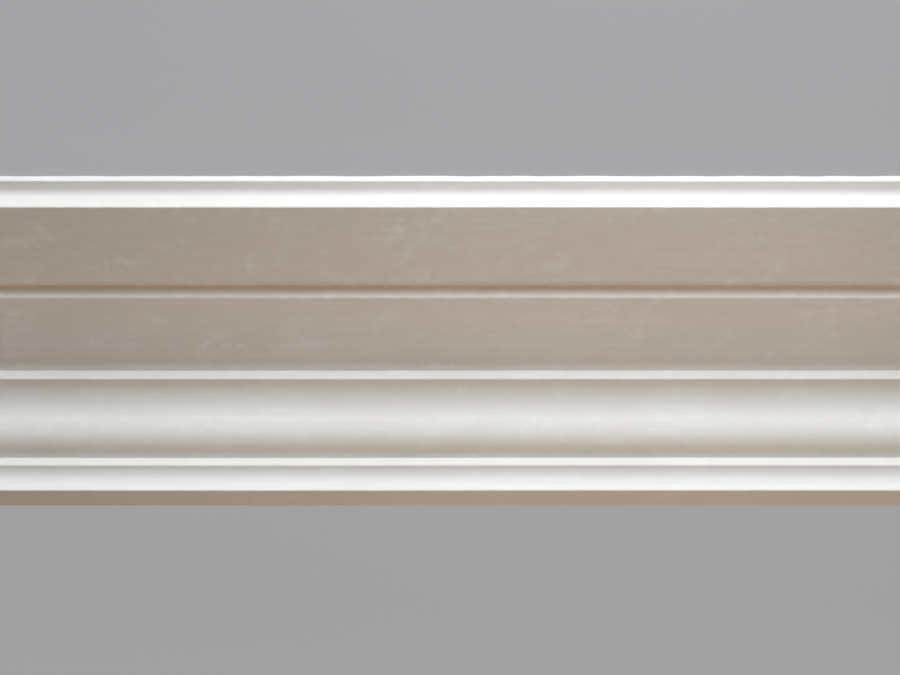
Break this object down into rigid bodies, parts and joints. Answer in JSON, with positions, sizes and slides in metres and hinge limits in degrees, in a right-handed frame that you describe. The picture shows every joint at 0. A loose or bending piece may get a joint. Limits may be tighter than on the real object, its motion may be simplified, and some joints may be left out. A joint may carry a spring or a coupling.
{
  "type": "plaster cornice",
  "caption": "Straight length of cast plaster cornice, with a wide grooved soffit, an ogee, square steps and small hollows, and a struck back that beds on ceiling and wall.",
  "frame": {"origin": "centre of the footprint, on the plane that the length lies on, which is the ceiling plane when it is fixed", "axes": "+X along the length, +Y towards the wall, +Z away from the ceiling (up as it lies on its ceiling side, down when it is fixed)"},
  "size_m": [2.4, 0.17, 0.0811],
  "materials": {
    "plaster": "matte"
  },
  "bodies": {
    "root": {"cornice": "plaster"}
  },
  "joints": []
}
